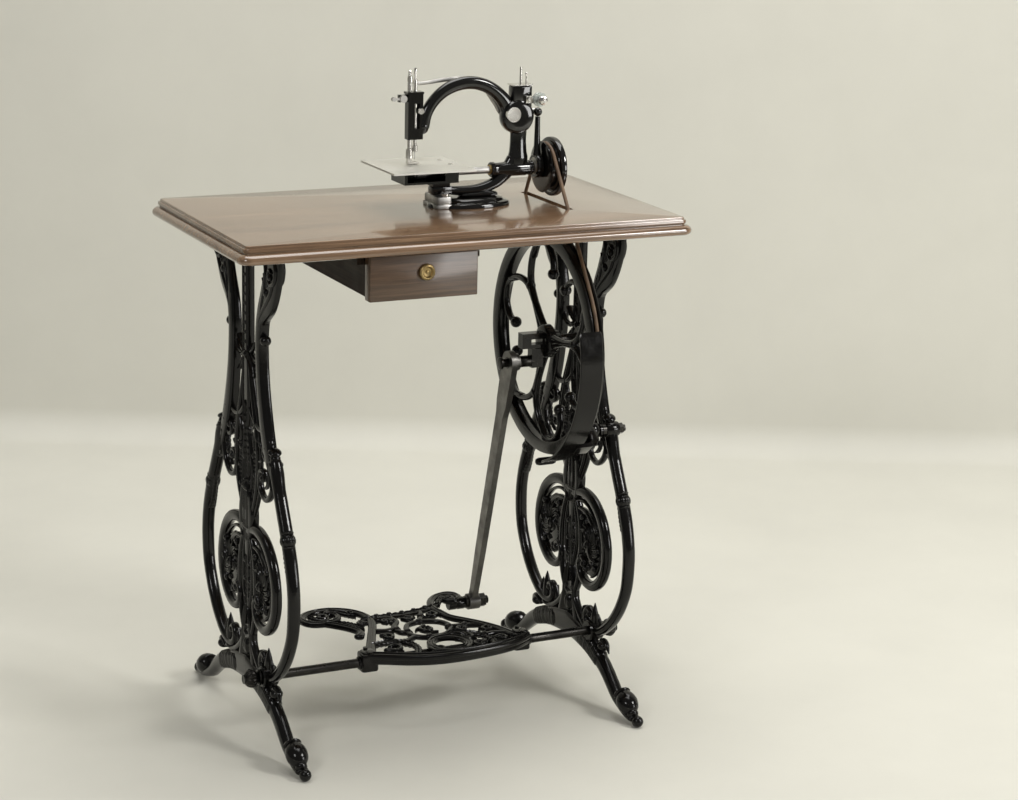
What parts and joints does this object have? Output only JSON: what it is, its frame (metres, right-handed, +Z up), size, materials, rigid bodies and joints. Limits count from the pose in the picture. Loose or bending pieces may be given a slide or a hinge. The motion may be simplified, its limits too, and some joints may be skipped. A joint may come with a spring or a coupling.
{
  "type": "treadle sewing machine",
  "caption": "Treadle sewing machine: small chain-stitch head on a wooden table with ornate cast-iron ends, flywheel and drawer",
  "frame": {"origin": "on the floor under the centre of the table top", "axes": "+X along the table towards the flywheel and hand wheel, +Y to the back, +Z up"},
  "size_m": [0.654, 0.452, 0.912],
  "materials": {
    "iron": "black japanned enamel, semi-gloss",
    "enamel": "deep gloss black enamel",
    "steel": "worn bright steel",
    "dark_steel": "blackened steel",
    "nickel": "polished nickel",
    "glass": "clear glass",
    "brass": "aged brass",
    "walnut": "polished walnut",
    "drawer_wood": "darker varnished walnut",
    "inner_wood": "unvarnished inner wood",
    "leather": "round leather belt"
  },
  "bodies": {
    "stand": {"side_frame_left": "iron", "side_frame_right": "iron", "stretcher_rod": "dark_steel", "stretcher_nuts": "dark_steel", "frame_screws": "dark_steel", "table_top": "walnut", "drawer_runners": "inner_wood", "runner_screws": "brass", "head_base": "enamel", "base_bolts": "nickel", "machine_arm": "enamel", "shaft_bushes": "brass", "needle_head": "enamel", "head_clamp_screw": "nickel", "cloth_plate": "nickel", "plate_screws": "nickel", "needle_plate": "nickel", "feed_housing": "enamel", "feed_dog": "steel", "spool_plate": "nickel", "spool_pin": "nickel", "thread_pin": "nickel", "tension_bracket": "nickel", "tension_stud": "nickel", "tension_discs": "glass", "tension_spring": "steel", "tension_nut": "nickel", "lever_pivot": "nickel", "dress_guard": "iron", "guard_bolt": "dark_steel", "wheel_stud": "dark_steel", "drive_belt": "leather"},
    "drawer": {"drawer_front": "drawer_wood", "drawer_sides": "inner_wood", "drawer_back": "inner_wood", "drawer_bottom": "inner_wood", "drawer_pull": "brass"},
    "wheel": {"flywheel": "iron", "crank": "iron", "crank_pin": "dark_steel"},
    "pitman": {"pitman_rod": "dark_steel", "pitman_bush": "dark_steel", "pitman_bolts": "dark_steel"},
    "treadle": {"treadle_plate": "iron", "treadle_bolts": "dark_steel"},
    "shaft": {"main_shaft": "steel", "hand_wheel": "enamel", "belt_pulley": "enamel", "eccentric": "steel", "looper": "steel"},
    "rod": {"eccentric_rod": "enamel"},
    "lever": {"needle_lever": "steel"},
    "lifter": {"presser_lifter": "steel"},
    "needle_bar_group": {"needle_bar": "nickel", "needle_clamp": "nickel", "needle": "steel"},
    "presser_group": {"presser_bar": "nickel", "presser_foot": "nickel", "presser_nut": "nickel", "presser_spring": "steel"}
  },
  "joints": [
    {"name": "wheel_spin", "type": "hinge", "parent": "stand", "child": "wheel", "pos_m": [0.189, -0.02, 0.521], "axis": [1, 0, 0], "continuous": true},
    {"name": "pitman_pin", "type": "hinge", "parent": "wheel", "child": "pitman", "pos_m": [0.132, -0.02, 0.494], "axis": [1, 0, 0], "continuous": true},
    {"name": "treadle_rock", "type": "hinge", "parent": "stand", "child": "treadle", "pos_m": [0.014, -0.075, 0.098], "axis": [1, 0, 0], "range_deg": [0, 19]},
    {"name": "shaft_spin", "type": "hinge", "parent": "stand", "child": "shaft", "pos_m": [0.19, 0, 0.767], "axis": [1, 0, 0], "continuous": true},
    {"name": "rod_pin", "type": "hinge", "parent": "shaft", "child": "rod", "pos_m": [0.1755, 0, 0.7691], "axis": [1, 0, 0], "continuous": true},
    {"name": "lever_rock", "type": "hinge", "parent": "stand", "child": "lever", "pos_m": [0.131, 0, 0.8445], "axis": [0, 1, 0], "range_deg": [-3, 3]},
    {"name": "needle_slide", "type": "slide", "parent": "stand", "child": "needle_bar_group", "axis": [0, 0, 1], "range_m": [-0.008, 0.008]},
    {"name": "presser_slide", "type": "slide", "parent": "stand", "child": "presser_group", "axis": [0, 0, 1], "range_m": [0, 0.004]},
    {"name": "lifter_swing", "type": "hinge", "parent": "stand", "child": "lifter", "pos_m": [-0.029, 0, 0.871], "axis": [0, 1, 0], "range_deg": [0, 40]},
    {"name": "drawer_slide", "type": "slide", "parent": "stand", "child": "drawer", "axis": [0, -1, 0], "range_m": [0, 0.18]}
  ],
  "couplings": [
    {"joint": "pitman_pin", "follows": "wheel_spin", "ratio": -1},
    {"joint": "shaft_spin", "follows": "wheel_spin", "ratio": 4.8652},
    {"joint": "rod_pin", "follows": "wheel_spin", "ratio": -4.8652},
    {"joint": "needle_slide", "follows": "lever_rock", "m_per_rad": 0.15},
    {"joint": "lifter_swing", "follows": "presser_slide", "rad_per_m": 174.5}
  ]
}
